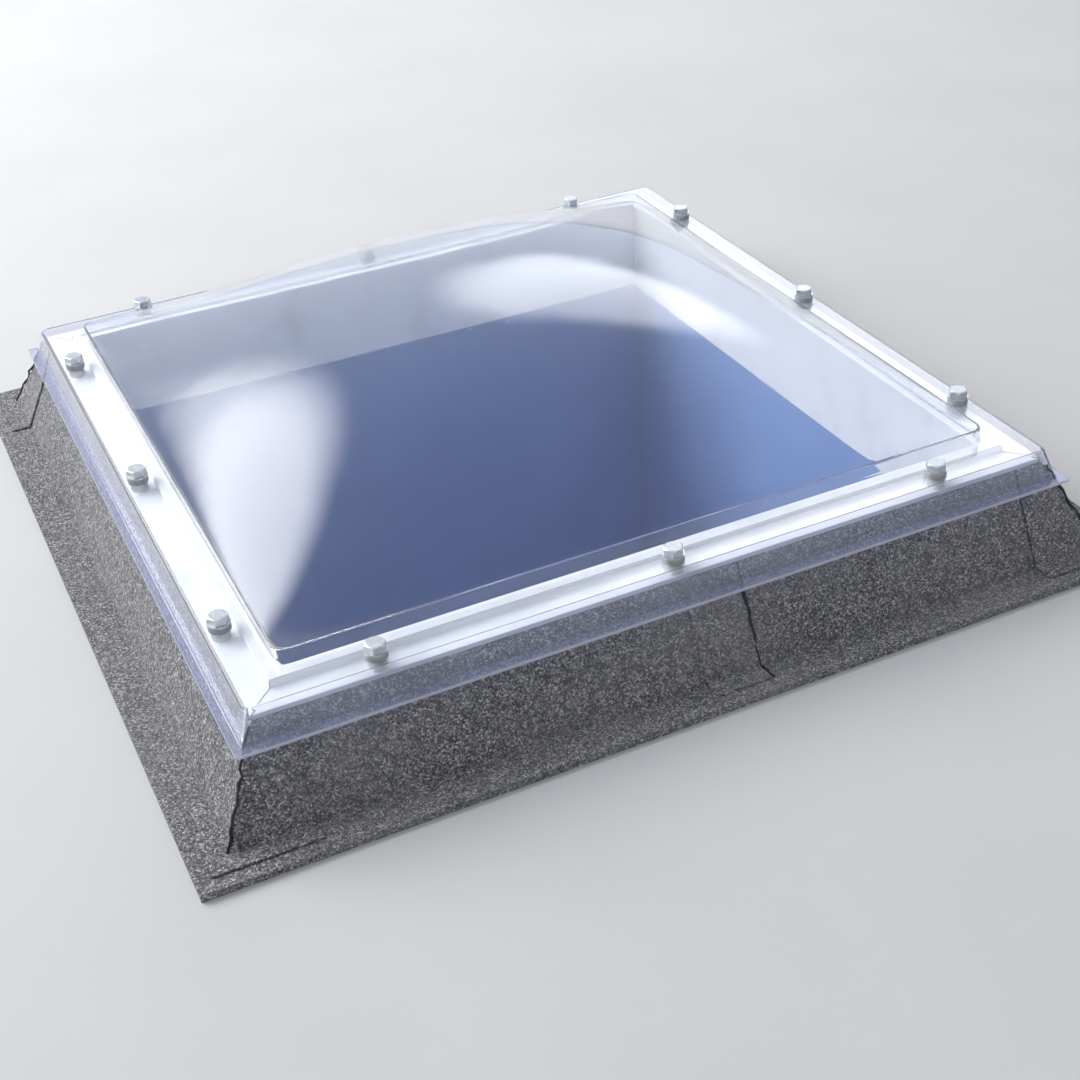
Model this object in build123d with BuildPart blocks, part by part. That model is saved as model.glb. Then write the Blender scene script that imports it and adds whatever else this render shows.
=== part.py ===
from build123d import *
import math
import os

# Fixed dome rooflight on its kerb, in millimetres.
# The origin is at the middle of the kerb's base. X runs to the right, Y to the back and Z up.

# Clear opening at the top of the kerb
daylight_width = 1000.0
daylight_depth = 1000.0

# Kerb, an extruded hollow PVC profile
kerb_height = 150.0
seal_band = 24.0
screw_band = 35.0
band_step = 9.0
rim_face = 7.0
slope_run = 64.0
foot_width = 50.0
base_thickness = 6.0
kerb_wall = 4.0
screw_wall = 6.0
screw_web_drop = 34.0
middle_web_height = 58.0
edge_round = 1.0
base_hole = 6.5
base_hole_inset = 19.5
base_hole_pitch = 500.0

# Bitumen felt on the kerb's slope and foot
felt_thickness = 4.5
patch_thickness = 3.0
patch_width = 40.0
patch_foot = 30.0
front_seam = 80.0
front_lap = 75.0

# Seal between the kerb and the dome
seal_width = 11.0
seal_thickness = 2.0

# Dome, one thermoformed clear sheet
sheet = 4.0
flange_overhang = 8.0
flange_corner = 14.0
skirt_height = 46.0
skirt_flare = 13.0
skirt_corner = 6.0
lip_width = 11.0
lip_corner = 3.0
fold_round = 5.0
lip_round = 3.0
root_round = 4.0
root_margin = 8.0
root_height = 20.0
root_corner = 20.0
vault_rise = 152.0
vault_power = 2.28
edge_power = 0.9
vault_sections = (1.0, 0.996, 0.985, 0.965, 0.93, 0.88, 0.81, 0.72, 0.6, 0.45, 0.28, 0.06)

# Fixings, three on each side
screw_inset = 22.0
end_screw = 169.0
shank = 8.0
screw_length = 60.0
point_length = 8.0
point_tip = 1.6
head_sides = 6
head_width = 24.0
head_height = 10.0
head_chamfer = 1.2
head_chamfer_angle = 60.0
washer = 30.0
washer_thickness = 2.5
rubber_washer = 29.0
rubber_thickness = 8.0
spacer = 24.0
fixing_clearance = 0.6
thread_clearance = 0.2
flange_hole = 10.0

# Two edges within this distance are at the same height
level_tolerance = 0.01

# Heights that follow from the sizes above
screw_band_top = kerb_height - band_step
rim_bottom = screw_band_top - rim_face
flange_bottom = kerb_height + seal_thickness
flange_top = flange_bottom + sheet
skirt_bottom = flange_top - skirt_height
root_top = flange_top + root_height
washer_seat = flange_top + rubber_thickness
head_seat = washer_seat + washer_thickness

# Distances outward from the daylight edge
rim = seal_band + screw_band
flange_edge = rim + flange_overhang
screw_line = flange_edge - screw_inset
slope_tangent = slope_run / (rim_bottom - base_thickness - felt_thickness)
slope_cosine = math.cos(math.atan(slope_tangent))
slope_head = rim - felt_thickness / slope_cosine
felt_edge = rim + slope_run + foot_width
base_edge = felt_edge - felt_thickness
patch_edge = rim + slope_run + patch_foot

directions = {"front": (0, -1), "back": (0, 1), "left": (-1, 0), "right": (1, 0)}
corners = {
    "front_left": ("front", "left"),
    "front_right": ("front", "right"),
    "back_left": ("back", "left"),
    "back_right": ("back", "right"),
}


def side_plane(side):
    """The section plane of one side: x is outward from the daylight edge, y is up, z runs along the side."""
    out_x, out_y = directions[side]
    origin = (out_x * daylight_width / 2, out_y * daylight_depth / 2, 0)
    return Plane(origin=origin, x_dir=(out_x, out_y, 0), z_dir=(out_y, -out_x, 0))


def half_length(side):
    """Half of the daylight edge on one side."""
    return daylight_depth / 2 if side in ("left", "right") else daylight_width / 2


def mitre_planes(side):
    """The two upright 45 degree planes that end one side; the kept half is on their positive side."""
    plane = side_plane(side)
    planes = []
    for end in (-1, 1):
        corner = plane.origin + plane.z_dir * (end * half_length(side))
        planes.append(Plane(origin=corner, z_dir=plane.x_dir - plane.z_dir * end))
    return planes


def slope_at(height, offset):
    """Distance outward of the kerb's slope at a height, moved out by an offset along its normal."""
    return slope_head + (rim_bottom - height) * slope_tangent + offset / slope_cosine


def felt_section(inner, outer, foot_end):
    """Corner points of a felt layer between two offsets from the slope. The given points end its foot."""
    low, high = base_thickness + inner, base_thickness + outer
    return [
        (slope_at(rim_bottom, inner), rim_bottom),
        (slope_at(rim_bottom, outer), rim_bottom),
        (slope_at(high, outer), high),
        *foot_end,
        (slope_at(low, inner), low),
    ]


def fixing_spots(side):
    """Plan positions of the three fixings of one side."""
    plane = side_plane(side)
    end = half_length(side) + flange_edge - end_screw
    spots = [plane.origin + plane.x_dir * screw_line + plane.z_dir * along for along in (-end, 0, end)]
    return [(spot.X, spot.Y) for spot in spots]


def base_hole_spots(side):
    """Plan positions of the holes in one side's base flange."""
    plane = side_plane(side)
    out = base_edge - base_hole_inset
    runs = (-base_hole_pitch, 0, base_hole_pitch)
    spots = [plane.origin + plane.x_dir * out + plane.z_dir * along for along in runs]
    return [(spot.X, spot.Y) for spot in spots]


def write(part, name):
    """Labels one finished piece and writes it."""
    part.label = name
    export_step(part, f"parts/{name}.step")


os.makedirs("parts", exist_ok=True)


# Kerb sides: the stepped top, the sloping wall and the base flange are one hollow extrusion.
kerb_outline = [
    (0, 0),
    (0, kerb_height),
    (seal_band, kerb_height),
    (seal_band, screw_band_top),
    (rim, screw_band_top),
    (rim, rim_bottom),
    (slope_head, rim_bottom),
    (slope_at(base_thickness, 0), base_thickness),
    (base_edge, base_thickness),
    (base_edge, 0),
]
rounded_corners = [(0, kerb_height), (seal_band, kerb_height), (rim, screw_band_top), (rim, rim_bottom)]
screw_web_top = kerb_height - screw_web_drop
screw_web_bottom = screw_web_top - kerb_wall
middle_web_top = middle_web_height + kerb_wall
band_chamber = [
    (kerb_wall, screw_web_top),
    (kerb_wall, kerb_height - kerb_wall),
    (seal_band - kerb_wall, kerb_height - kerb_wall),
    (seal_band - kerb_wall, screw_web_top),
]
screw_chamber = [
    (seal_band, screw_web_top),
    (seal_band, screw_band_top - screw_wall),
    (slope_head - kerb_wall, screw_band_top - screw_wall),
    (slope_at(screw_web_top, -kerb_wall), screw_web_top),
]
upper_chamber = [
    (kerb_wall, middle_web_top),
    (kerb_wall, screw_web_bottom),
    (slope_at(screw_web_bottom, -kerb_wall), screw_web_bottom),
    (slope_at(middle_web_top, -kerb_wall), middle_web_top),
]
lower_chamber = [
    (kerb_wall, base_thickness),
    (kerb_wall, middle_web_height),
    (slope_at(middle_web_height, -kerb_wall), middle_web_height),
    (slope_at(base_thickness, -kerb_wall), base_thickness),
]


def kerb_side(side):
    """One mitred side of the kerb, drilled for its fixings and for the screws into the deck."""
    with BuildPart() as kerb:
        with BuildSketch(side_plane(side)) as section:
            with BuildLine():
                Polyline(*kerb_outline, close=True)
            make_face()
            for point in rounded_corners:
                fillet(section.vertices().sort_by_distance(point)[0], edge_round)
            for chamber in (band_chamber, screw_chamber, upper_chamber, lower_chamber):
                with BuildLine():
                    Polyline(*chamber, close=True)
                make_face(mode=Mode.SUBTRACT)
        extrude(amount=half_length(side) + base_edge, both=True)
        for mitre in mitre_planes(side):
            split(bisect_by=mitre, keep=Keep.TOP)
        with BuildSketch(Plane.XY.offset(screw_web_bottom)):
            with Locations(*fixing_spots(side)):
                Circle(shank / 2 + thread_clearance)
        extrude(amount=kerb_height - screw_web_bottom, mode=Mode.SUBTRACT)
        with BuildSketch():
            with Locations(*base_hole_spots(side)):
                Circle(base_hole / 2)
        extrude(amount=base_thickness, mode=Mode.SUBTRACT)
    return kerb.part


for side in directions:
    write(kerb_side(side), f"kerb_{side}")


# Seal strips on the raised band, mitred at the corners like the kerb.
def seal_strip(side):
    """One sealing strip between the raised band and the dome's flange."""
    with BuildPart() as strip:
        with BuildSketch(side_plane(side)):
            with Locations((root_margin + root_round, kerb_height)):
                Rectangle(seal_width, seal_thickness, align=(Align.MIN, Align.MIN))
        extrude(amount=half_length(side) + base_edge, both=True)
        for mitre in mitre_planes(side):
            split(bisect_by=mitre, keep=Keep.TOP)
    return strip.part


for side in directions:
    write(seal_strip(side), f"seal_{side}")


# Felt strips on the slope and the foot, turned down over the edge of the kerb's base.
# The front has two lengths, the left one lapped over the right.
foot_top = base_thickness + felt_thickness
lap_top = foot_top + patch_thickness
felt_turn = [(felt_edge, foot_top), (felt_edge, 0), (base_edge, 0), (base_edge, base_thickness)]
felt_layer = felt_section(0, felt_thickness, felt_turn)
lap_end = [(patch_edge, lap_top), (patch_edge, foot_top)]
lap_layer = felt_section(felt_thickness, felt_thickness + patch_thickness, lap_end)


def felt_strip(side):
    """One felt strip from hip to hip."""
    with BuildPart() as strip:
        with BuildSketch(side_plane(side)):
            with BuildLine():
                Polyline(*felt_layer, close=True)
            make_face()
        extrude(amount=half_length(side) + felt_edge, both=True)
        for mitre in mitre_planes(side):
            split(bisect_by=mitre, keep=Keep.TOP)
    return strip.part


for side in ("back", "left", "right"):
    write(felt_strip(side), f"felt_{side}")

lap_start = Plane.YZ.offset(front_seam - front_lap)
with BuildPart() as felt_front_left:
    add(felt_strip("front"))
    split(bisect_by=lap_start, keep=Keep.BOTTOM)
    with BuildSketch(side_plane("front").offset(-front_seam)):
        with BuildLine():
            Polyline(*lap_layer, close=True)
        make_face()
    extrude(amount=front_lap + patch_thickness)
write(felt_front_left.part, "felt_front_left")

with BuildPart() as felt_front_right:
    add(felt_strip("front"))
    split(bisect_by=lap_start, keep=Keep.TOP)
write(felt_front_right.part, "felt_front_right")


# Corner patches: one piece of felt folded over each hip, on top of the strips.
def corner_patch(long_side, short_side):
    """One corner patch, swept round the corner of the rim."""
    sign_x = directions[short_side][0]
    sign_y = directions[long_side][1]
    corner_x = sign_x * (daylight_width / 2 + rim)
    corner_y = sign_y * (daylight_depth / 2 + rim)
    start = (corner_x - sign_x * patch_width, corner_y, 0)
    end = (corner_x, corner_y - sign_y * patch_width, 0)
    with BuildPart() as patch:
        with BuildLine() as path:
            Polyline(start, (corner_x, corner_y, 0), end)
        with BuildSketch(Plane(origin=start, x_dir=(0, sign_y, 0), z_dir=(sign_y, 0, 0))):
            with BuildLine():
                Polyline(*[(out - rim, height) for out, height in lap_layer], close=True)
            make_face()
        sweep(path=path.line, transition=Transition.RIGHT)
    return patch.part


for name, (long_side, short_side) in corners.items():
    write(corner_patch(long_side, short_side), f"felt_patch_{name}")


# Dome: flange and skirt, root wall, vault and lip are one sheet.
# A rounded rectangle's outline misses its sharp corner by this share of the radius, in X and in Y.
diagonal_gap = 1 - math.sqrt(0.5)


def plan_rectangle(out, corner):
    """A rounded rectangle whose sides stand a distance outside the daylight edge."""
    RectangleRounded(daylight_width + 2 * out, daylight_depth + 2 * out, corner)


def vault_levels(out, rise, corner):
    """Width, depth, corner radius and height of the vault's level lines, from the root wall to the crown.

    The vault stands rise * ((1 - x ** vault_power) * (1 - y ** vault_power)) ** edge_power above the root,
    where x and y are shares of the half width and half depth. A level line that starts at a share on the
    middle line crosses the diagonal at a smaller share, and its corner radius makes the rounded rectangle
    pass through both points.
    """
    half_x = daylight_width / 2 + out
    half_y = daylight_depth / 2 + out
    levels = []
    for share in vault_sections:
        fall = 1 - share ** vault_power
        diagonal = (1 - math.sqrt(fall)) ** (1 / vault_power)
        radius = (share - diagonal) / diagonal_gap * min(half_x, half_y)
        height = root_top + rise * fall ** edge_power
        levels.append((2 * half_x * share, 2 * half_y * share, max(corner, radius), height))
    return levels


def edges_at(part, height, out):
    """The edges of a part at one height and no further out than a distance from the daylight edge."""
    reach_x = daylight_width / 2 + out
    reach_y = daylight_depth / 2 + out
    level = part.edges().filter_by_position(Axis.Z, height - level_tolerance, height + level_tolerance)
    return level.filter_by_position(Axis.X, -reach_x, reach_x).filter_by_position(Axis.Y, -reach_y, reach_y)


skirt_foot = flange_edge + skirt_flare
lip_top = skirt_bottom + sheet
with BuildPart() as dome:
    with BuildSketch(Plane.XY.offset(flange_top)):
        plan_rectangle(flange_edge, flange_corner)
    with BuildSketch(Plane.XY.offset(skirt_bottom)):
        plan_rectangle(skirt_foot, skirt_corner)
    loft(ruled=True)
    fillet(dome.edges().group_by(Axis.Z)[-1], fold_round)
    with BuildSketch(Plane.XY.offset(skirt_bottom)):
        plan_rectangle(skirt_foot + lip_width, lip_corner)
    extrude(amount=sheet)
    fillet(edges_at(dome, lip_top, skirt_foot), lip_round)
    with BuildSketch(Plane.XY.offset(flange_bottom)):
        plan_rectangle(flange_edge - sheet, flange_corner - sheet)
    with BuildSketch(Plane.XY.offset(skirt_bottom)):
        plan_rectangle(skirt_foot - sheet, skirt_corner - sheet)
    loft(ruled=True, mode=Mode.SUBTRACT)
    for out, rise, corner, mode in (
        (root_margin, vault_rise, root_corner, Mode.ADD),
        (root_margin - sheet, vault_rise - sheet, root_corner - sheet, Mode.SUBTRACT),
    ):
        with BuildSketch(Plane.XY.offset(flange_bottom)):
            plan_rectangle(out, corner)
        extrude(amount=root_top - flange_bottom, mode=mode)
        for width, depth, radius, height in vault_levels(out, rise, corner):
            with BuildSketch(Plane.XY.offset(height)):
                RectangleRounded(width, depth, radius)
        loft(mode=mode)
    fillet(edges_at(dome, flange_top, root_margin + level_tolerance), root_round)
    fillet(edges_at(dome, flange_bottom, root_margin - sheet + level_tolerance), root_round + sheet)
    with BuildSketch(Plane.XY.offset(flange_bottom)):
        for side in directions:
            with Locations(*fixing_spots(side)):
                Circle(flange_hole / 2)
    extrude(amount=sheet, mode=Mode.SUBTRACT)
write(dome.part, "dome")


# Fixings: hex-head screw, steel washer and rubber washer on the flange, spacer bush under it.
def ring_set(side, height, diameter, bore, thickness):
    """Three flat rings of one side."""
    with BuildPart() as rings:
        with BuildSketch(Plane.XY.offset(height)):
            with Locations(*fixing_spots(side)):
                Circle(diameter / 2)
                Circle(bore / 2, mode=Mode.SUBTRACT)
        extrude(amount=thickness)
    return rings.part


def screw_set(side):
    """Three hex-head screws of one side, with chamfered heads and pointed ends."""
    point = head_seat - screw_length
    with BuildPart() as screws:
        with BuildSketch(Plane.XY.offset(head_seat)):
            with Locations(*fixing_spots(side)):
                RegularPolygon(head_width / 2, head_sides, major_radius=False)
        extrude(amount=head_height)
        with BuildSketch(Plane.XY.offset(head_seat + head_height)):
            with Locations(*fixing_spots(side)):
                Circle(head_width / 2 - head_chamfer)
        extrude(amount=-head_height, taper=-head_chamfer_angle, mode=Mode.INTERSECT)
        with BuildSketch(Plane.XY.offset(head_seat)):
            with Locations(*fixing_spots(side)):
                Circle(shank / 2)
        extrude(amount=-(screw_length - point_length))
        for spot in fixing_spots(side):
            with Locations((*spot, point + point_length / 2)):
                Cone(point_tip / 2, shank / 2, point_length)
    return screws.part


for side in directions:
    bore = shank + fixing_clearance
    write(screw_set(side), f"screws_{side}")
    write(ring_set(side, washer_seat, washer, bore, washer_thickness), f"steel_washers_{side}")
    write(ring_set(side, flange_top, rubber_washer, bore, rubber_thickness), f"rubber_washers_{side}")
    write(ring_set(side, screw_band_top, spacer, bore, flange_bottom - screw_band_top), f"spacers_{side}")
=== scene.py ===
# %% [markdown]
# # A fixed dome rooflight on its kerb
#
# A clear plastic dome is screwed down on a white hollow kerb, and the kerb's slope is clad in roofing felt.
# The CAD model gives every piece its place and size. This lesson dresses that model: it finds a finish for
# each material, remakes the clear sheet with a smoother surface, and adds the small things that a maker
# leaves behind, such as weld beads and the bitumen that is squeezed out of a lap.

# %% Load the frame
import math
import random
from collections import namedtuple

import bmesh
import bpy
from mathutils import Matrix, Quaternion, Vector


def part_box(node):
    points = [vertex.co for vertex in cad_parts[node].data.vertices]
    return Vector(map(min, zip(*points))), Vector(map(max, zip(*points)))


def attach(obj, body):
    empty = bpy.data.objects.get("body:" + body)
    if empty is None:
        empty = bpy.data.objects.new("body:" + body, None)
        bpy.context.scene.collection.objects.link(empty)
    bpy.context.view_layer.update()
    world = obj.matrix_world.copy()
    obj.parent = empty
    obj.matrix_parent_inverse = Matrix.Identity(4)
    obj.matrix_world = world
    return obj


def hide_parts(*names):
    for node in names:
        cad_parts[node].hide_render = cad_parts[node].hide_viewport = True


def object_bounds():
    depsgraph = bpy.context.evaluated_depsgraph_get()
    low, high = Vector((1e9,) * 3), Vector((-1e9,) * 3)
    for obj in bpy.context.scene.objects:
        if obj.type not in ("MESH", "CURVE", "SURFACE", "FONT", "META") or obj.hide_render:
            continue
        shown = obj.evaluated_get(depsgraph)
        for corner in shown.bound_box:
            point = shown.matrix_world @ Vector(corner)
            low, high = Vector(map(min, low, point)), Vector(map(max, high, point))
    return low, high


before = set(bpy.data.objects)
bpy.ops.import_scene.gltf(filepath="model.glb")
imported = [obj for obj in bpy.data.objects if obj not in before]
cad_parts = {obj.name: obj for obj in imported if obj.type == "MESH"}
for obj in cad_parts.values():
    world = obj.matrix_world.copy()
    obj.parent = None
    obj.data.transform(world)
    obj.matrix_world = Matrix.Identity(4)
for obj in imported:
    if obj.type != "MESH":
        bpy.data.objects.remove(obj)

cad_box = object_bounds()
print("CAD nodes:", len(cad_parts))

# %% [markdown]
# ## Sizes
#
# Every size is in metres. What the frame can tell is read from the boxes of its nodes, so the new pieces
# follow the CAD model when it changes. The few sizes that no box shows, such as the radius of a fold, are
# written once here.

# %% Sizes from the frame's boxes
dome_low, dome_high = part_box("dome")
kerb_low, kerb_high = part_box("kerb_front")
spacer_low, spacer_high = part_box("spacers_front")
seal_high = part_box("seal_front")[1]
rubber_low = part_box("rubber_washers_front")[0]
felt_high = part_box("felt_front_right")[1]
patch_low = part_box("felt_patch_front_right")[0]

daylight_half = -kerb_high.y
kerb_top = kerb_high.z
flange_bottom = seal_high.z
flange_top = rubber_low.z
sheet = flange_top - flange_bottom
skirt_bottom = dome_low.z
lip_half = dome_high.x
screw_line = -(spacer_low.y + spacer_high.y) / 2
end_screw = spacer_high.x - (spacer_high.y - spacer_low.y) / 2
band_top = spacer_low.z
print("daylight half", round(daylight_half, 4), "flange top", round(flange_top, 4))
print("screw line", round(screw_line, 4), "end screw at", round(end_screw, 4))

# %% Sizes that no box shows
seal_band = 0.024
screw_band = 0.035
flange_overhang = 0.008
flange_corner = 0.014
fold_round = 0.005
skirt_flare = 0.013
skirt_corner = 0.006
lip_corner = 0.003
lip_round = 0.003
root_margin = 0.008
root_height = 0.020
root_corner = 0.020
root_round = 0.004
crease_round = 0.0005
vault_power = 2.28
edge_power = 0.9
flange_hole = 0.005

raised_half = daylight_half + seal_band
rim_half = raised_half + screw_band
flange_half = rim_half + flange_overhang
skirt_half = flange_half + skirt_flare
root_half = daylight_half + root_margin
root_top = flange_top + root_height
vault_rise = dome_high.z - root_top
print("flange half", round(flange_half, 4), "vault rise", round(vault_rise, 4))

# %% [markdown]
# ## Helpers for every finish
#
# A colour is easiest to pick as an sRGB hex value, but Blender mixes light in linear values, so one
# function turns the first into the second. Another adds a shader node with its settings and with what feeds
# its sockets. With them, a material reads as a list of what happens to the surface.

# %% Colour and node helpers
MIX_FACTOR, MIX_FIRST, MIX_SECOND, MIX_RESULT = 0, 6, 7, 2


def linear(code):
    """Linear RGBA for an sRGB hex value."""
    channels = [int(code[start:start + 2], 16) / 255 for start in (0, 2, 4)]
    return (*[c / 12.92 if c <= 0.04045 else ((c + 0.055) / 1.055) ** 2.4 for c in channels], 1.0)


def add_node(tree, kind, sockets=None, stops=(), **settings):
    """Adds a node with its settings and stops. Each socket gets a value, or the output that feeds it."""
    node = tree.nodes.new(kind)
    for name, value in settings.items():
        setattr(node, name, value)
    for name, value in (sockets or {}).items():
        if isinstance(value, bpy.types.NodeSocket):
            tree.links.new(value, node.inputs[name])
        else:
            node.inputs[name].default_value = value
    if stops:
        node.color_ramp.elements.remove(node.color_ramp.elements[1])
        node.color_ramp.elements[0].position = stops[0][0]
        node.color_ramp.elements[0].color = linear(stops[0][1])
    for position, code in stops[1:]:
        node.color_ramp.elements.new(position).color = linear(code)
    return node


def start_material(name):
    """An empty material, its node tree, and the object coordinates that its patterns are laid out in."""
    material = bpy.data.materials.new(name)
    material.use_nodes = True
    tree = material.node_tree
    tree.nodes.clear()
    return material, tree, add_node(tree, "ShaderNodeTexCoord").outputs["Object"]


def dress(prefixes, material):
    """Gives a material to each CAD node whose name starts with one of the prefixes."""
    dressed = [node for name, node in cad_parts.items() if name.startswith(prefixes)]
    for node in dressed:
        node.data.materials.clear()
        node.data.materials.append(material)
    print(material.name, "on", len(dressed), "nodes")


print("mid grey 808080 in linear values:", round(linear("808080")[0], 3))

# %% [markdown]
# ## White PVC
#
# The kerb is extruded from rigid white PVC. It comes out of a polished die, so it has a satin face with
# very fine lines along its length, and outdoors it takes on faint grey patches of dust. The lines follow
# the extrusion, so the sides that run along X and the sides that run along Y each have their own version of
# the finish. The real lines are a tenth of a millimetre apart, so they are drawn ten times coarser to show
# at all. Dirt stays on the rough weld beads in the corners, so they have a greyer version.

# %% White PVC
PVC_STOPS = [(0.3, "f3f4f6"), (0.55, "ecedf0"), (0.8, "d6d8db")]
WELD_STOPS = [(0.3, "d5d5d6"), (0.7, "a9a9ab")]
die_line = 0.0012
dust_patch = 0.09
weld_dirt = 0.015


def white_pvc(name, run, patch, stops):
    """White PVC with die lines along one axis, where run is 0 for X and 1 for Y, and dust in patches."""
    material, tree, place = start_material(name)
    stretch = [1 / die_line] * 3
    stretch[run] = 1.0
    along = add_node(tree, "ShaderNodeMapping", {"Vector": place, "Scale": stretch}).outputs[0]
    lines = add_node(tree, "ShaderNodeTexNoise", {"Vector": along, "Scale": 1.0}).outputs[0]
    dust = add_node(tree, "ShaderNodeTexNoise",
                    {"Vector": place, "Scale": 1 / patch, "Detail": 6.0}).outputs[0]
    colour = add_node(tree, "ShaderNodeValToRGB", {0: dust}, stops).outputs[0]
    rough = add_node(tree, "ShaderNodeMapRange", {"Value": dust, "To Min": 0.26, "To Max": 0.5}).outputs[0]
    bump = add_node(tree, "ShaderNodeBump", {"Height": lines, "Strength": 0.2, "Distance": 0.0002}).outputs[0]
    shader = add_node(tree, "ShaderNodeBsdfPrincipled",
                      {"Base Color": colour, "Roughness": rough, "Normal": bump, "IOR": 1.53})
    add_node(tree, "ShaderNodeOutputMaterial", {"Surface": shader.outputs[0]})
    return material


dress(("kerb_front", "kerb_back"), white_pvc("white_pvc_along_x", 0, dust_patch, PVC_STOPS))
dress(("kerb_left", "kerb_right"), white_pvc("white_pvc_along_y", 1, dust_patch, PVC_STOPS))
weld_pvc = white_pvc("welded_pvc", 0, weld_dirt, WELD_STOPS)

# %% [markdown]
# ## Mineral felt
#
# Roofing felt is bitumen pressed full of slate granules of about 1 to 2 mm. To the eye it is a dark grey
# ground with pale, bluish and brownish grains, and it never looks even: bare bitumen shows where grains
# have washed off, and dust settles in soft patches. Voronoi cells make the grains, and noise of two sizes
# makes the patches. Many real grains are smaller than a pixel of the render, so the cells are drawn a
# little coarser.

# %% Mineral felt
GRAIN_STOPS = [(0.0, "46474a"), (0.3, "6e6f73"), (0.6, "8f9093"), (0.85, "b5b5b6"), (0.97, "e2e0dc")]
TINT_STOPS = [(0.0, "e6e9f2"), (0.5, "ffffff"), (1.0, "f4f0eb")]
grain = 0.0020
clump = 0.012
weather_patch = 0.17

mineral_felt, tree, place = start_material("mineral_felt")
cells = add_node(tree, "ShaderNodeTexVoronoi", {"Vector": place, "Scale": 1 / grain})
chance = add_node(tree, "ShaderNodeSeparateColor", {"Color": cells.outputs["Color"]}).outputs
shade = add_node(tree, "ShaderNodeValToRGB", {0: chance[0]}, GRAIN_STOPS).outputs[0]
tint = add_node(tree, "ShaderNodeValToRGB", {0: chance[1]}, TINT_STOPS).outputs[0]
grains = add_node(tree, "ShaderNodeMix", {MIX_FACTOR: 1.0, MIX_FIRST: shade, MIX_SECOND: tint},
                  data_type="RGBA", blend_type="MULTIPLY").outputs[MIX_RESULT]
washed = add_node(tree, "ShaderNodeTexNoise",
                  {"Vector": place, "Scale": 1 / clump, "Detail": 3.0}).outputs[0]
bare = add_node(tree, "ShaderNodeMapRange",
                {"Value": washed, "From Min": 0.48, "From Max": 0.75, "To Max": 0.6}).outputs[0]
ground = add_node(tree, "ShaderNodeMix", {MIX_FACTOR: bare, MIX_FIRST: grains, MIX_SECOND: linear("48494c")},
                  data_type="RGBA").outputs[MIX_RESULT]
settled = add_node(tree, "ShaderNodeTexNoise",
                   {"Vector": place, "Scale": 1 / weather_patch, "Detail": 5.0}).outputs[0]
dusty = add_node(tree, "ShaderNodeMapRange",
                 {"Value": settled, "From Min": 0.4, "From Max": 0.75, "To Max": 0.4}).outputs[0]
colour = add_node(tree, "ShaderNodeMix", {MIX_FACTOR: dusty, MIX_FIRST: ground, MIX_SECOND: linear("a0a0a2")},
                  data_type="RGBA").outputs[MIX_RESULT]
rough = add_node(tree, "ShaderNodeMapRange", {"Value": chance[2], "To Min": 0.75, "To Max": 0.98}).outputs[0]
relief = add_node(tree, "ShaderNodeBump",
                  {"Height": cells.outputs["Distance"], "Strength": 0.7, "Distance": 0.0012},
                  invert=True).outputs[0]
shader = add_node(tree, "ShaderNodeBsdfPrincipled",
                  {"Base Color": colour, "Roughness": rough, "Normal": relief})
add_node(tree, "ShaderNodeOutputMaterial", {"Surface": shader.outputs[0]})
dress(("felt_",), mineral_felt)

# %% [markdown]
# ## Bitumen
#
# Felt is laid with a torch, and a bead of molten bitumen comes out along every lap. It sets to a nearly
# black, lumpy line with a soft gloss, and dust dulls its high places. One noise drives the colour, the
# gloss and the relief together, so the lumps that stand out are also the paler and duller ones.

# %% Bitumen
BITUMEN_STOPS = [(0.35, "16161a"), (0.7, "303036")]
lump = 0.006

bitumen, tree, place = start_material("bitumen")
lumps = add_node(tree, "ShaderNodeTexNoise", {"Vector": place, "Scale": 1 / lump, "Detail": 4.0}).outputs[0]
colour = add_node(tree, "ShaderNodeValToRGB", {0: lumps}, BITUMEN_STOPS).outputs[0]
rough = add_node(tree, "ShaderNodeMapRange", {"Value": lumps, "To Min": 0.3, "To Max": 0.8}).outputs[0]
relief = add_node(tree, "ShaderNodeBump", {"Height": lumps, "Strength": 0.6, "Distance": 0.001}).outputs[0]
shader = add_node(tree, "ShaderNodeBsdfPrincipled",
                  {"Base Color": colour, "Roughness": rough, "Normal": relief})
add_node(tree, "ShaderNodeOutputMaterial", {"Surface": shader.outputs[0]})
print(bitumen.name, "shader nodes:", len(tree.nodes))

# %% [markdown]
# ## Rubber
#
# The thick washers are grey EPDM rubber, moulded smooth and then dulled by dust. One even grey would look
# like plastic, so a coarse noise lays the dust, and a much finer one makes pores that break up the gloss.

# %% Rubber
RUBBER_STOPS = [(0.35, "a9acaf"), (0.8, "c0c2c4")]
rubber_dust = 0.006
rubber_pore = 0.0008

rubber, tree, place = start_material("epdm_rubber")
dust = add_node(tree, "ShaderNodeTexNoise",
                {"Vector": place, "Scale": 1 / rubber_dust, "Detail": 4.0}).outputs[0]
skin = add_node(tree, "ShaderNodeTexNoise", {"Vector": place, "Scale": 1 / rubber_pore}).outputs[0]
colour = add_node(tree, "ShaderNodeValToRGB", {0: dust}, RUBBER_STOPS).outputs[0]
rough = add_node(tree, "ShaderNodeMapRange", {"Value": dust, "To Min": 0.5, "To Max": 0.85}).outputs[0]
relief = add_node(tree, "ShaderNodeBump", {"Height": skin, "Strength": 0.3, "Distance": 0.0002}).outputs[0]
shader = add_node(tree, "ShaderNodeBsdfPrincipled",
                  {"Base Color": colour, "Roughness": rough, "Normal": relief})
add_node(tree, "ShaderNodeOutputMaterial", {"Surface": shader.outputs[0]})
dress(("rubber_washers",), rubber)

# %% [markdown]
# ## Foam tape
#
# The seal under the flange is a white tape of closed-cell foam, soft and quite matt. Plain noise has no
# cell walls, so the relief comes from Voronoi cells of about a millimetre, and noise only clouds the white.

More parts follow.
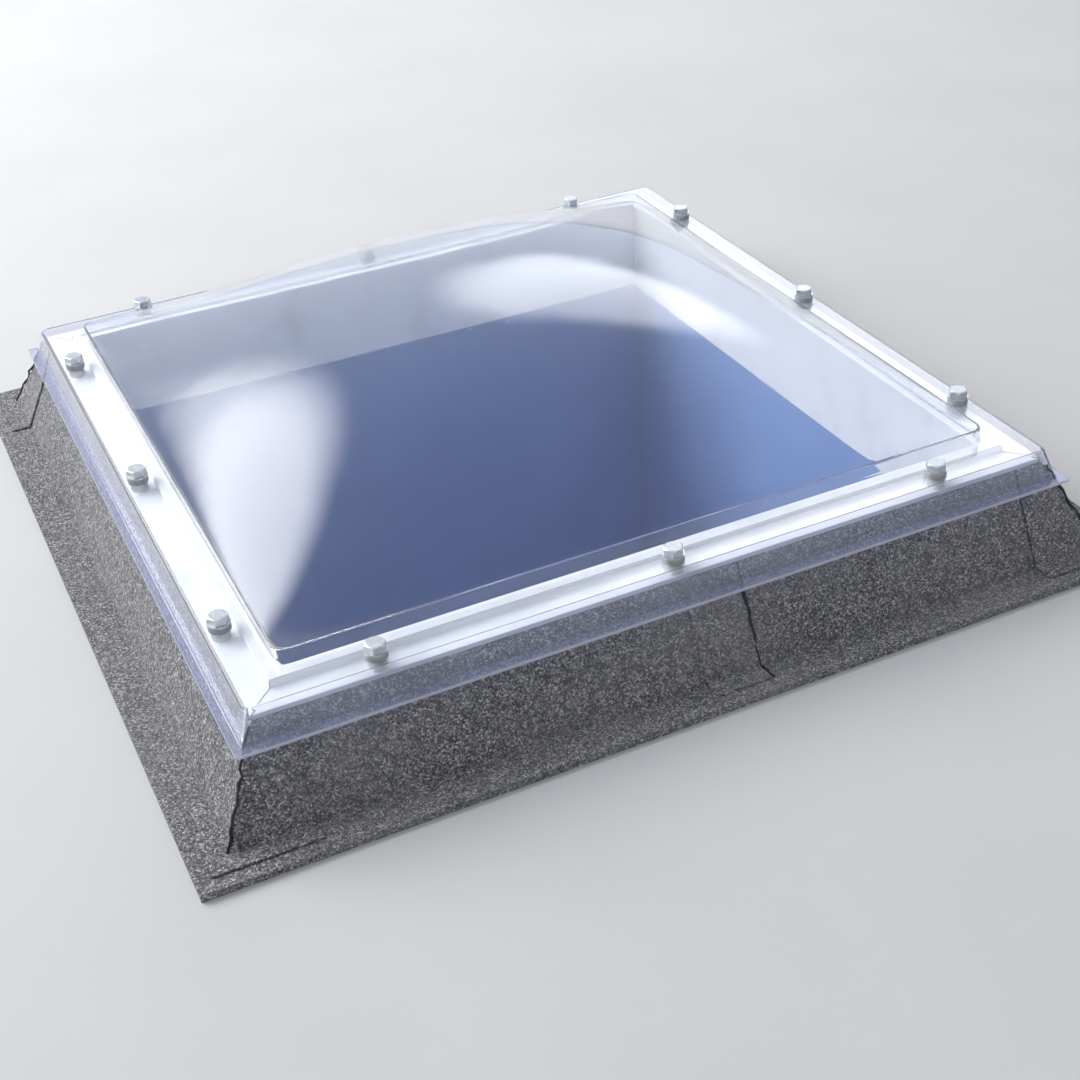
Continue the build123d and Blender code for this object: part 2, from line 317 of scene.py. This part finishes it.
# %% Foam tape
FOAM_STOPS = [(0.3, "efefed"), (0.8, "dcdcd9")]
foam_cell = 0.0012
foam_cloud = 0.03

foam, tree, place = start_material("white_foam_tape")
cells = add_node(tree, "ShaderNodeTexVoronoi", {"Vector": place, "Scale": 1 / foam_cell}).outputs["Distance"]
cloud = add_node(tree, "ShaderNodeTexNoise",
                 {"Vector": place, "Scale": 1 / foam_cloud, "Detail": 4.0}).outputs[0]
colour = add_node(tree, "ShaderNodeValToRGB", {0: cloud}, FOAM_STOPS).outputs[0]
relief = add_node(tree, "ShaderNodeBump", {"Height": cells, "Strength": 0.4, "Distance": 0.0004}).outputs[0]
shader = add_node(tree, "ShaderNodeBsdfPrincipled",
                  {"Base Color": colour, "Roughness": 0.95, "Normal": relief})
add_node(tree, "ShaderNodeOutputMaterial", {"Surface": shader.outputs[0]})
dress(("seal_",), foam)

# %% [markdown]
# ## Zinc plated and stainless steel
#
# The screws are zinc plated: a pale metal that has lost its first shine and is a little blotchy. The thin
# washers are stainless, stamped and brighter. Both are bare metal with blotches and fine pits, so one
# function makes them, and only the colours, the size of the blotches and the roughness differ.

# %% Zinc plated and stainless steel
ZINC_STOPS = [(0.3, "b9bcbf"), (0.6, "cdd0d2"), (0.85, "e0e2e3")]
STAINLESS_STOPS = [(0.3, "b2b4b6"), (0.8, "cfd1d3")]
zinc_blotch = 0.005
stainless_blotch = 0.004
pits_per_blotch = 8


def weathered_steel(name, stops, blotch, rough_low, rough_high):
    """Bare metal with blotches of one size, finer pits and a range of roughness."""
    material, tree, place = start_material(name)
    cloud = add_node(tree, "ShaderNodeTexNoise",
                     {"Vector": place, "Scale": 1 / blotch, "Detail": 5.0}).outputs[0]
    pits = add_node(tree, "ShaderNodeTexNoise",
                    {"Vector": place, "Scale": pits_per_blotch / blotch}).outputs[0]
    colour = add_node(tree, "ShaderNodeValToRGB", {0: cloud}, stops).outputs[0]
    rough = add_node(tree, "ShaderNodeMapRange",
                     {"Value": cloud, "To Min": rough_low, "To Max": rough_high}).outputs[0]
    relief = add_node(tree, "ShaderNodeBump",
                      {"Height": pits, "Strength": 0.25, "Distance": 0.0001}).outputs[0]
    shader = add_node(tree, "ShaderNodeBsdfPrincipled",
                      {"Base Color": colour, "Metallic": 1.0, "Roughness": rough, "Normal": relief})
    add_node(tree, "ShaderNodeOutputMaterial", {"Surface": shader.outputs[0]})
    return material


dress(("screws",), weathered_steel("zinc_plated_steel", ZINC_STOPS, zinc_blotch, 0.3, 0.55))
dress(("steel_washers",), weathered_steel("stainless_steel", STAINLESS_STOPS, stainless_blotch, 0.22, 0.4))

# %% [markdown]
# ## Natural nylon
#
# The bushes under the flange are natural nylon, which is milky and lets some light through. Subsurface
# scattering would follow the light inside, but the bushes are small and lie in the shade, so a share of
# transmission looks much the same and takes less time.

# %% Natural nylon
NYLON_STOPS = [(0.3, "f0f0ed"), (0.8, "e2e3e0")]
nylon_cloud = 0.008

nylon, tree, place = start_material("natural_nylon")
cloud = add_node(tree, "ShaderNodeTexNoise",
                 {"Vector": place, "Scale": 1 / nylon_cloud, "Detail": 3.0}).outputs[0]
colour = add_node(tree, "ShaderNodeValToRGB", {0: cloud}, NYLON_STOPS).outputs[0]
rough = add_node(tree, "ShaderNodeMapRange", {"Value": cloud, "To Min": 0.35, "To Max": 0.55}).outputs[0]
shader = add_node(tree, "ShaderNodeBsdfPrincipled",
                  {"Base Color": colour, "Roughness": rough, "IOR": 1.53, "Transmission Weight": 0.2})
add_node(tree, "ShaderNodeOutputMaterial", {"Surface": shader.outputs[0]})
dress(("spacers",), nylon)

# %% [markdown]
# ## Clear acrylic
#
# The dome is blown from a sheet of clear acrylic. It is as clear as glass and bends light almost as much,
# with an IOR of 1.49. A faint milky veil takes the place of some of the transmission over the whole sheet.
# Real light runs along inside the sheet and leaves it where it is folded; that glow is painted, as more veil
# over the root wall and the lip. The sheet is tinted lavender in the skirt and more at the lip, and the sawn
# edge, which is matt, has the most veil: partly its real matt face and partly painted glow. Blowing leaves
# very slow waves in the surface, and weather leaves specks that are a little duller than the rest. Light
# that falls through the sheet reaches what is below it, so shadow rays pass with only a slight tint.

# %% Clear acrylic
CLEAR, SKIRT_TINT, LIP_TINT = "f9fafd", "ebedf8", "dcdff5"
wave = 0.12
haze_patch = 0.05
speck_spacing = 0.024
# Veil shares: a faint haze everywhere, painted glow at the root and the lip, and at the sawn edge its matt
# face and painted glow together
clear_veil = 0.006
root_painted_glow = 0.06
lip_painted_glow = 0.08
sawn_edge_matt_and_glow = 0.6

# Where each zone of the sheet begins and where it is full, in height or, for the sawn edge, outwards
root_glow_zone = (root_top + 0.004, root_top - 0.002)
skirt_zone = (flange_bottom - 0.0005, flange_bottom - 0.006)
lip_zone = (skirt_bottom + 0.010, skirt_bottom + 0.005)
edge_zone = (lip_half - 0.0012, lip_half)

acrylic, tree, place = start_material("clear_acrylic")
specks = add_node(tree, "ShaderNodeTexVoronoi", {"Vector": place, "Scale": 1 / speck_spacing})
haze = add_node(tree, "ShaderNodeTexNoise",
                {"Vector": place, "Scale": 1 / haze_patch, "Detail": 6.0}).outputs[0]
film = add_node(tree, "ShaderNodeMapRange", {"Value": haze, "From Min": 0.4, "From Max": 0.8,
                                             "To Min": 0.015, "To Max": 0.05}).outputs[0]
dull = add_node(tree, "ShaderNodeMapRange", {"Value": specks.outputs["Distance"], "From Min": 0.05,
                                             "From Max": 0.12, "To Min": 0.12, "To Max": 0.0}).outputs[0]
rough = add_node(tree, "ShaderNodeMath", {0: film, 1: dull}, operation="ADD").outputs[0]
swell = add_node(tree, "ShaderNodeTexNoise", {"Vector": place, "Scale": 1 / wave, "Detail": 1.0}).outputs[0]
waves = add_node(tree, "ShaderNodeBump", {"Height": swell, "Strength": 0.12, "Distance": 0.004}).outputs[0]

unsigned = add_node(tree, "ShaderNodeVectorMath", {0: place}, operation="ABSOLUTE").outputs[0]
away = add_node(tree, "ShaderNodeSeparateXYZ", {0: unsigned}).outputs
outward = add_node(tree, "ShaderNodeMath", {0: away["X"], 1: away["Y"]}, operation="MAXIMUM").outputs[0]
zones = [(away["Z"], root_glow_zone), (away["Z"], skirt_zone), (away["Z"], lip_zone), (outward, edge_zone)]
root, skirt, lip, sawn = [
    add_node(tree, "ShaderNodeMapRange", {"Value": measure, "From Min": begin, "From Max": full}).outputs[0]
    for measure, (begin, full) in zones]

colour = linear(CLEAR)
for zone, code in ((skirt, SKIRT_TINT), (lip, LIP_TINT)):
    colour = add_node(tree, "ShaderNodeMix", {MIX_FACTOR: zone, MIX_FIRST: colour, MIX_SECOND: linear(code)},
                      data_type="RGBA").outputs[MIX_RESULT]
# The veil is haze everywhere, with painted glow added in the root, lip and sawn-edge zones
haze_and_painted_glow = clear_veil
for zone, share in ((root, root_painted_glow), (lip, lip_painted_glow), (sawn, sawn_edge_matt_and_glow)):
    haze_and_painted_glow = add_node(tree, "ShaderNodeMath", {0: zone, 1: share, 2: haze_and_painted_glow}, operation="MULTIPLY_ADD").outputs[0]
clarity = add_node(tree, "ShaderNodeMath", {0: 1.0, 1: haze_and_painted_glow}, operation="SUBTRACT").outputs[0]
shader = add_node(tree, "ShaderNodeBsdfPrincipled", {"Base Color": colour, "Transmission Weight": clarity,
                                                     "IOR": 1.49, "Roughness": rough, "Normal": waves})
let_by = add_node(tree, "ShaderNodeBsdfTransparent", {"Color": linear(CLEAR)})
is_shadow = add_node(tree, "ShaderNodeLightPath").outputs["Is Shadow Ray"]
both = add_node(tree, "ShaderNodeMixShader", {0: is_shadow, 1: shader.outputs[0], 2: let_by.outputs[0]})
add_node(tree, "ShaderNodeOutputMaterial", {"Surface": both.outputs[0]})
print(acrylic.name, "shader nodes:", len(tree.nodes))

# %% [markdown]
# ## The dome's sheet
#
# The real dome is one sheet, clamped round its rim and blown up by air, with a skirt folded down and a
# small lip turned out. Its upper and its lower face are modelled one after the other, in the same way. A
# grid is the vault: its lines are set closer together towards the edge, where the vault turns steeply, and
# its corners are rounded. Its border is extruded ring by ring into the root wall, the flange, the skirt and
# the lip, and bevels turn the sharp rings into folds. The sizes of the lower face are less by the
# thickness, and a bridge between both borders closes the sheet. Its flange stays a hair above the seals,
# because two faces in one place flicker. Solidify would be quicker, but it turns small faces inside out
# where a fold is tighter than the sheet is thick. A lathe can't make the dome, because its plan is square.

# %% The vault and its rings
vault_steps = 128
spread_angle = 1.38
fold_segments = 6
Ring = namedtuple("Ring", "half corner height radius turn")


def rounded_point(along_x, along_y, half, corner):
    """The place on a rounded square of a point of the plain square from -1 to 1."""
    x, y = abs(along_x) * half, abs(along_y) * half
    over_x, over_y = x - (half - corner), y - (half - corner)
    if over_x > 0 and over_y > 0:
        pull = 1 - max(over_x, over_y) / math.hypot(over_x, over_y)
        x, y = x - over_x * pull, y - over_y * pull
    return math.copysign(x, along_x), math.copysign(y, along_y)


def vault_height(x, y, half, rise):
    """Height of one face of the vault at a place in plan, for the half width and the rise of that face."""
    fall_x = max(0.0, 1 - abs(x / half) ** vault_power)
    fall_y = max(0.0, 1 - abs(y / half) ** vault_power)
    return root_top + rise * (fall_x * fall_y) ** edge_power


def turned_ring(mesh, edges, ring):
    """Extrudes a ring of edges and sets the new one on a rounded square at its height. Returns its edges."""
    made = bmesh.ops.extrude_edge_only(mesh, edges=edges)["geom"]
    points = {item for item in made if isinstance(item, bmesh.types.BMVert)}
    for vertex in points:
        x, y = rounded_point(vertex[plan_x], vertex[plan_y], ring.half, ring.corner)
        vertex.co = (x, y, ring.height)
    return [edge for edge in mesh.edges if edge.verts[0] in points and edge.verts[1] in points]


def sheet_face(mesh, rise, root, rings):
    """Adds one face of the sheet. The vault ends at the root ring, and the others follow down to the lip."""
    grid = bmesh.ops.create_grid(mesh, x_segments=vault_steps, y_segments=vault_steps, size=1.0)
    points = set(grid["verts"])
    for vertex in points:
        vertex[plan_x], vertex[plan_y] = (math.sin(share * spread_angle) / math.sin(spread_angle)
                                          for share in vertex.co.xy)
        x, y = rounded_point(vertex[plan_x], vertex[plan_y], root.half, root.corner)
        vertex.co = (x, y, vault_height(x, y, root.half, rise))
    edges = [edge for edge in mesh.edges if edge.is_boundary and edge.verts[0] in points]
    folds = [(edges, root)]
    for ring in rings:
        edges = turned_ring(mesh, edges, ring)
        folds.append((edges, ring))
    for edges, ring in folds[:-1]:
        bmesh.ops.bevel(mesh, geom=edges, offset=ring.radius * math.tan(ring.turn / 2), offset_type="OFFSET",
                        affect="EDGES", segments=fold_segments, profile=0.5, material=-1)


print("top of the vault at", round(vault_height(0, 0, root_half, vault_rise), 4))

# %% Both faces
crease_turn = math.radians(42)
contact_gap = 0.00015
lip_top = skirt_bottom + sheet
share_down = (flange_top - lip_top) / (flange_top - skirt_bottom)
foot_half = flange_half + (skirt_half - flange_half) * share_down
foot_corner = flange_corner + (skirt_corner - flange_corner) * share_down
skirt_turn = math.atan2(flange_top - skirt_bottom, skirt_half - flange_half)
flange_under = flange_bottom + contact_gap

dome_mesh = bmesh.new()
plan_x = dome_mesh.verts.layers.float.new("plan_x")
plan_y = dome_mesh.verts.layers.float.new("plan_y")
upper_root = Ring(root_half, root_corner, root_top, sheet + crease_round, crease_turn)
sheet_face(dome_mesh, vault_rise, upper_root, [
    Ring(root_half, root_corner, flange_top, root_round, math.pi / 2),
    Ring(flange_half, flange_corner, flange_top, fold_round, skirt_turn),
    Ring(foot_half, foot_corner, lip_top, lip_round, skirt_turn),
    Ring(lip_half, lip_corner, lip_top, 0, 0)])
lower_root = Ring(root_half - sheet, root_corner - sheet, root_top, crease_round, crease_turn)
sheet_face(dome_mesh, vault_rise - sheet, lower_root, [
    Ring(root_half - sheet, root_corner - sheet, flange_under, root_round + sheet, math.pi / 2),
    Ring(flange_half - sheet, flange_corner - sheet, flange_under, fold_round - sheet, skirt_turn),
    Ring(skirt_half - sheet, skirt_corner - sheet, skirt_bottom, lip_round, skirt_turn),
    Ring(lip_half, lip_corner, skirt_bottom, 0, 0)])
bmesh.ops.bridge_loops(dome_mesh, edges=[edge for edge in dome_mesh.edges if edge.is_boundary])
bmesh.ops.recalc_face_normals(dome_mesh, faces=dome_mesh.faces)
print("faces of the sheet:", len(dome_mesh.faces))
print("open edges:", sum(edge.is_boundary for edge in dome_mesh.edges))

# %% [markdown]
# ## Holes and a place on the frame
#
# The twelve screw holes are cylinders that a Boolean takes away, as a drill does. Edges that turn sharply
# are then marked sharp, and a Weighted Normal modifier lets the broad flat faces keep their plain shading
# next to the folds. Both modifiers are made final, so the piece is one plain mesh. A helper names a piece,
# gives it a material and puts it on the body, and it serves for every later piece too.

# %% Finish a piece
def finish_piece(name, mesh, material):
    """Turns a bmesh into a smooth piece that rides on the root body, and returns its object."""
    data = bpy.data.meshes.new(name)
    mesh.to_mesh(data)
    mesh.free()
    data.materials.append(material)
    data.polygons.foreach_set("use_smooth", [True] * len(data.polygons))
    piece = bpy.data.objects.new(name, data)
    bpy.context.scene.collection.objects.link(piece)
    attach(piece, "root")
    print(name, "faces:", len(data.polygons))
    return piece


def make_final(piece):
    """Puts the result of a piece's modifiers in its mesh."""
    shaped = piece.evaluated_get(bpy.context.evaluated_depsgraph_get())
    piece.data = bpy.data.meshes.new_from_object(shaped)
    piece.modifiers.clear()
    print(piece.name, "final faces:", len(piece.data.polygons))


# %% Screw holes and shading
sharp_turn = math.radians(35)
drill_sides = 32
screw_spots = [(sign * screw_line, along) for sign in (-1, 1) for along in (-end_screw, 0, end_screw)]
screw_spots += [(along, across) for across, along in screw_spots]

dome_sheet = finish_piece("dome_sheet", dome_mesh, acrylic)
drill_mesh = bmesh.new()
for x, y in screw_spots:
    bmesh.ops.create_cone(drill_mesh, cap_ends=True, segments=drill_sides, radius1=flange_hole,
                          radius2=flange_hole, depth=4 * sheet, matrix=Matrix.Translation((x, y, flange_top)))
drill_data = bpy.data.meshes.new("drill")
drill_mesh.to_mesh(drill_data)
drill_mesh.free()
drill = bpy.data.objects.new("drill", drill_data)
bpy.context.scene.collection.objects.link(drill)
cut = dome_sheet.modifiers.new("holes", "BOOLEAN")
cut.operation = "DIFFERENCE"
cut.solver = "MANIFOLD"
cut.object = drill
make_final(dome_sheet)
bpy.data.objects.remove(drill)
dome_sheet.data.set_sharp_from_angle(angle=sharp_turn)
weigh = dome_sheet.modifiers.new("flat_faces_first", "WEIGHTED_NORMAL")
weigh.keep_sharp = True
make_final(dome_sheet)
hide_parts("dome")

# %% [markdown]
# ## Beads
#
# A bead is what is left where something molten was pushed along a joint: the white line of a weld in the
# kerb's corner, or black bitumen at the edge of a lap. It is thin, round and never quite even. One ring is
# extruded from point to point of a path, and at each point it is turned along the path and given a new
# radius. The path wanders a little to each side, by random steps whose seed is fixed, so every run makes
# the same bead.

# %% A bead along a path
bead_sides = 8
Bead = namedtuple("Bead", "thin thick step stray")


def wander(corners, bead, chance):
    """Points along a path through the corners, about one step apart, each off by a random stray."""
    points = []
    for start, end in zip(corners, corners[1:]):
        count = max(1, round((end - start).length / bead.step))
        points += [start.lerp(end, index / count) for index in range(count)]
    points.append(corners[-1])
    return [point + Vector([chance.uniform(-bead.stray, bead.stray) for _ in range(3)]) for point in points]


def lay_bead(mesh, corners, bead, chance):
    """Extrudes a round ring along a path through the corners, with random radii, and closes both ends."""
    path = wander([Vector(corner) for corner in corners], bead, chance)
    radii = [chance.uniform(bead.thin, bead.thick) for _ in path]
    places = []
    for index, (point, radius) in enumerate(zip(path, radii)):
        ahead = path[min(index + 1, len(path) - 1)] - path[max(index - 1, 0)]
        turned = ahead.to_track_quat("Z", "Y").to_matrix().to_4x4()
        places.append(Matrix.Translation(point) @ turned @ Matrix.Scale(radius, 4))
    ring = bmesh.ops.create_circle(mesh, cap_ends=True, segments=bead_sides, radius=1.0,
                                   matrix=places[0])["verts"]
    face = ring[0].link_faces[0]
    for before, after in zip(places, places[1:]):
        made = bmesh.ops.extrude_face_region(mesh, geom=[face])["geom"]
        points = [item for item in made if isinstance(item, bmesh.types.BMVert)]
        bmesh.ops.transform(mesh, matrix=after @ before.inverted(), verts=points)
        face = next(item for item in made if isinstance(item, bmesh.types.BMFace))


# %% [markdown]
# ## Weld beads of the kerb
#
# The four lengths of kerb are cut at 45 degrees and pressed together against a hot plate. A little PVC is
# squeezed out, and after it is trimmed, a thin raised line stays over the steps of the outer corner and
# down the inner one.

# %% Weld beads
weld_radius = 0.0010
weld_bead = Bead(thin=0.8 * weld_radius, thick=1.1 * weld_radius, step=0.006, stray=weld_radius / 6)
weld_foot = kerb_low.z + 3 * weld_radius
rim_bottom = felt_high.z

chance = random.Random(11)
weld_mesh = bmesh.new()
outer_steps = [(raised_half, kerb_top), (raised_half, band_top), (rim_half, band_top), (rim_half, rim_bottom)]
inner_corner = [(daylight_half, kerb_top), (daylight_half, weld_foot)]
for sign_x in (-1, 1):
    for sign_y in (-1, 1):
        for steps in (outer_steps, inner_corner):
            corners = [(sign_x * out, sign_y * out, height) for out, height in steps]
            lay_bead(weld_mesh, corners, weld_bead, chance)
bmesh.ops.recalc_face_normals(weld_mesh, faces=weld_mesh.faces)
finish_piece("weld_beads", weld_mesh, weld_pvc)

# %% [markdown]
# ## Bitumen beads of the laps
#
# The front is covered by two lengths of felt, and the left one ends on top of the right one. A patch is
# folded over each corner. Bitumen shows along each of those edges, down the slope and round the foot. The
# hips are bent sharply when the felt is cold, so they crack open, and that line is repaired with more
# bitumen and looks jagged. The beads of the lap and of the hips lie a little over the felt, so they show
# without a break.

# %% Places on the felt
slope_run = 0.064
lap_edge_x = 0.080
patch_width = 0.040
patch_thickness = 0.003
patch_side = rim_half - patch_width
foot_edge = -patch_low.y
foot_top = patch_low.z
slope_tan = slope_run / (rim_bottom - foot_top)
slope_cos = math.cos(math.atan(slope_tan))


def slope_out(height, lift):
    """How far out the felt's face is at a height, or a face that is raised over it by a lift."""
    return rim_half + (rim_bottom - height) * slope_tan + lift / slope_cos


print("foot crease at", round(slope_out(foot_top, 0), 4), "foot edge at", round(foot_edge, 4))

# %% Bitumen beads
patch_bead = Bead(thin=0.0004, thick=0.0009, step=0.005, stray=0.0004)
crack_bead = Bead(thin=0.0013, thick=0.0027, step=0.008, stray=0.0020)
crack_lift = 0.0014
hip_lift = patch_thickness + crack_lift

chance = random.Random(23)
bitumen_mesh = bmesh.new()
bead_top = rim_bottom - crack_bead.thick
crease = slope_out(foot_top, 0)
patch_head = slope_out(bead_top, 0)
lap_path = [(-slope_out(bead_top, crack_lift), bead_top),
            (-slope_out(foot_top, crack_lift), foot_top + crack_lift),
            (-foot_edge, foot_top + crack_lift)]
beads = [(crack_bead, [(lap_edge_x + crack_lift, y, z) for y, z in lap_path])]
patch_path = [(patch_side, patch_head, bead_top), (patch_side, crease, foot_top),
              (patch_side, foot_edge, foot_top), (foot_edge, foot_edge, foot_top),
              (foot_edge, patch_side, foot_top), (crease, patch_side, foot_top),
              (patch_head, patch_side, bead_top)]
hip_foot = slope_out(foot_top + hip_lift, hip_lift)
hip_head = slope_out(bead_top, hip_lift)
hip_path = [(hip_head, hip_head, bead_top), (hip_foot, hip_foot, foot_top + hip_lift)]
for sign_x in (-1, 1):
    for sign_y in (-1, 1):
        for bead, path in ((patch_bead, patch_path), (crack_bead, hip_path)):
            beads.append((bead, [(sign_x * x, sign_y * y, z) for x, y, z in path]))
for bead, corners in beads:
    lay_bead(bitumen_mesh, corners, bead, chance)
bmesh.ops.recalc_face_normals(bitumen_mesh, faces=bitumen_mesh.faces)
finish_piece("bitumen_beads", bitumen_mesh, bitumen)

# %% [markdown]
# ## The floor and the dark below
#
# A rooflight stands over a hole in a roof, and its dome looks dark because the room below is dark. So the
# plain pale floor has an opening under the daylight opening, and a matt blue well hangs below it. Its blue is
# painted shade and a painted reflection: it stands for the dim room and for the blue sky that the dome
# mirrors. The floor is a grid of nine faces whose middle one is removed, and the well is that border extruded
# downwards.

# %% Floor and well
FLOOR_STOPS = [(0.3, "e3e4e6"), (0.7, "e8e9ea")]
# Painted shade of the room below and painted reflection of the blue sky, laid on the well as its colour
WELL_SHADE_AND_SKY_STOPS = [(0.3, "708cbb"), (0.7, "7c98c8")]
floor_patch = 0.4
well_patch = 0.3
floor_half = 9.0
opening_gap = 0.002
opening_half = daylight_half + opening_gap
well_depth = 0.8
floor_level = cad_box[0].z


def matt_paint(name, stops, patch):
    """A matt surface whose colour drifts between its stops in patches of one size."""
    material, tree, place = start_material(name)
    tone = add_node(tree, "ShaderNodeTexNoise",
                    {"Vector": place, "Scale": 1 / patch, "Detail": 4.0}).outputs[0]
    colour = add_node(tree, "ShaderNodeValToRGB", {0: tone}, stops).outputs[0]
    shader = add_node(tree, "ShaderNodeBsdfPrincipled", {"Base Color": colour, "Roughness": 0.9})
    add_node(tree, "ShaderNodeOutputMaterial", {"Surface": shader.outputs[0]})
    return material


def stage_piece(name, mesh, material):
    """Turns a bmesh into a part of the stage."""
    data = bpy.data.meshes.new(name)
    mesh.to_mesh(data)
    mesh.free()
    data.materials.append(material)
    piece = bpy.data.objects.new(name, data)
    bpy.context.scene.collection.objects.link(piece)
    print(name, "faces:", len(data.polygons))


# The outer lines of the grid are 1 from its middle, and the inner ones a third
floor_mesh = bmesh.new()
bmesh.ops.create_grid(floor_mesh, x_segments=3, y_segments=3, size=1.0)
for vertex in floor_mesh.verts:
    reach = [floor_half if abs(share) > 0.9 else opening_half for share in vertex.co.xy]
    vertex.co = (math.copysign(reach[0], vertex.co.x), math.copysign(reach[1], vertex.co.y), floor_level)
middle = min(floor_mesh.faces, key=lambda face: face.calc_center_median().xy.length)
bmesh.ops.delete(floor_mesh, geom=[middle], context="FACES_ONLY")
stage_piece("floor", floor_mesh, matt_paint("matt_screed", FLOOR_STOPS, floor_patch))

well_mesh = bmesh.new()
bmesh.ops.create_grid(well_mesh, x_segments=1, y_segments=1, size=opening_half,
                      matrix=Matrix.Translation((0, 0, floor_level)))
made = bmesh.ops.extrude_face_region(well_mesh, geom=list(well_mesh.faces))["geom"]
bmesh.ops.translate(well_mesh, vec=(0, 0, -well_depth),
                    verts=[item for item in made if isinstance(item, bmesh.types.BMVert)])
lid = max(well_mesh.faces, key=lambda face: face.calc_center_median().z)
bmesh.ops.delete(well_mesh, geom=[lid], context="FACES_ONLY")
stage_piece("well", well_mesh, matt_paint("matt_paint_of_shade_and_sky", WELL_SHADE_AND_SKY_STOPS, well_patch))

# %% [markdown]
# ## Light
#
# The key light is a large softbox behind the dome and to the left, as high as a mild sun. It lights the
# tops and the left side, leaves the front slope in soft shade, and its reflection lies on the vault like a
# bright cloud. A smaller and dimmer one to the right adds a second reflection, which shows how the vault
# curves. An even world fills the shade. Rays that look straight at the world, or see it in gloss or through
# the sheet, get it at full strength.

# %% Softboxes and world
SKY_COLOUR = linear("dfe8f6")
SHADE_COLOUR = linear("f2f4f8")
shade_strength = 0.38


def softbox(name, direction, distance, width, height, watts):
    """A rectangular area light that looks at the dome and is dimmer towards its edges."""
    light = bpy.data.lights.new(name, "AREA")
    light.shape = "RECTANGLE"
    light.size = width
    light.size_y = height
    light.energy = watts
    light.use_nodes = True
    tree = light.node_tree
    tree.nodes.clear()
    spot = add_node(tree, "ShaderNodeNewGeometry").outputs["Parametric"]
    centred = add_node(tree, "ShaderNodeMapping",
                       {"Vector": spot, "Location": (-1, -1, 0), "Scale": (2, 2, 0)}).outputs[0]
    fall = add_node(tree, "ShaderNodeTexGradient", {0: centred}, gradient_type="SPHERICAL").outputs["Fac"]
    soft = add_node(tree, "ShaderNodeMapRange", {"Value": fall, "From Max": 0.45},
                    interpolation_type="SMOOTHSTEP").outputs[0]
    glow = add_node(tree, "ShaderNodeEmission", {"Strength": soft})
    add_node(tree, "ShaderNodeOutputLight", {"Surface": glow.outputs[0]})
    lamp = bpy.data.objects.new(name, light)
    lamp.location = Vector(direction).normalized() * distance
    lamp.rotation_euler = (-lamp.location).to_track_quat("-Z", "Y").to_euler()
    bpy.context.scene.collection.objects.link(lamp)
    print(name, "stands at", [round(value, 2) for value in lamp.location])


softbox("key_softbox", direction=(-0.6, 0.6, 0.65), distance=7.0, width=9.0, height=6.5, watts=960)
softbox("right_softbox", direction=(0.5, 0.7, 0.5), distance=6.0, width=4.0, height=3.0, watts=75)

world = bpy.data.worlds.new("soft_sky")
world.use_nodes = True
tree = world.node_tree
tree.nodes.clear()
ray = add_node(tree, "ShaderNodeLightPath").outputs
seen = add_node(tree, "ShaderNodeMath", {0: ray["Is Camera Ray"], 1: ray["Is Glossy Ray"]},
                operation="MAXIMUM").outputs[0]
seen = add_node(tree, "ShaderNodeMath", {0: seen, 1: ray["Is Transmission Ray"]},
                operation="MAXIMUM").outputs[0]
shade = add_node(tree, "ShaderNodeBackground", {"Color": SHADE_COLOUR, "Strength": shade_strength}).outputs[0]
sky = add_node(tree, "ShaderNodeBackground", {"Color": SKY_COLOUR, "Strength": 1.0}).outputs[0]
both = add_node(tree, "ShaderNodeMixShader", {0: seen, 1: shade, 2: sky})
add_node(tree, "ShaderNodeOutputWorld", {"Surface": both.outputs[0]})
bpy.context.scene.world = world

# %% [markdown]
# ## Camera
#
# The photographer stood in front of the left corner, looked down on the dome at about 33 degrees and held
# the camera slightly tilted, so the right end of every level line is lower than it should be. The place, a
# point in the middle of the picture, the tilt and the lens were worked out from the corners of the dome,
# the screws and the long edges.

# %% Camera
camera_place = Vector((-0.8447, -2.0782, 1.3424))
looked_at = Vector((-0.2126, -0.6209, 0.2999))
camera_tilt = math.radians(-3.81)

camera_data = bpy.data.cameras.new("photo_camera")
camera_data.lens = 56.19
camera_data.sensor_width = 36.0
camera = bpy.data.objects.new("photo_camera", camera_data)
camera.location = camera_place
aim = (looked_at - camera_place).to_track_quat("-Z", "Y") @ Quaternion((0, 0, 1), camera_tilt)
camera.rotation_euler = aim.to_euler()
bpy.context.scene.collection.objects.link(camera)
bpy.context.scene.camera = camera
bpy.context.scene.view_settings.view_transform = "Standard"
print("camera is", round((looked_at - camera_place).length, 2), "m from the point it looks at")
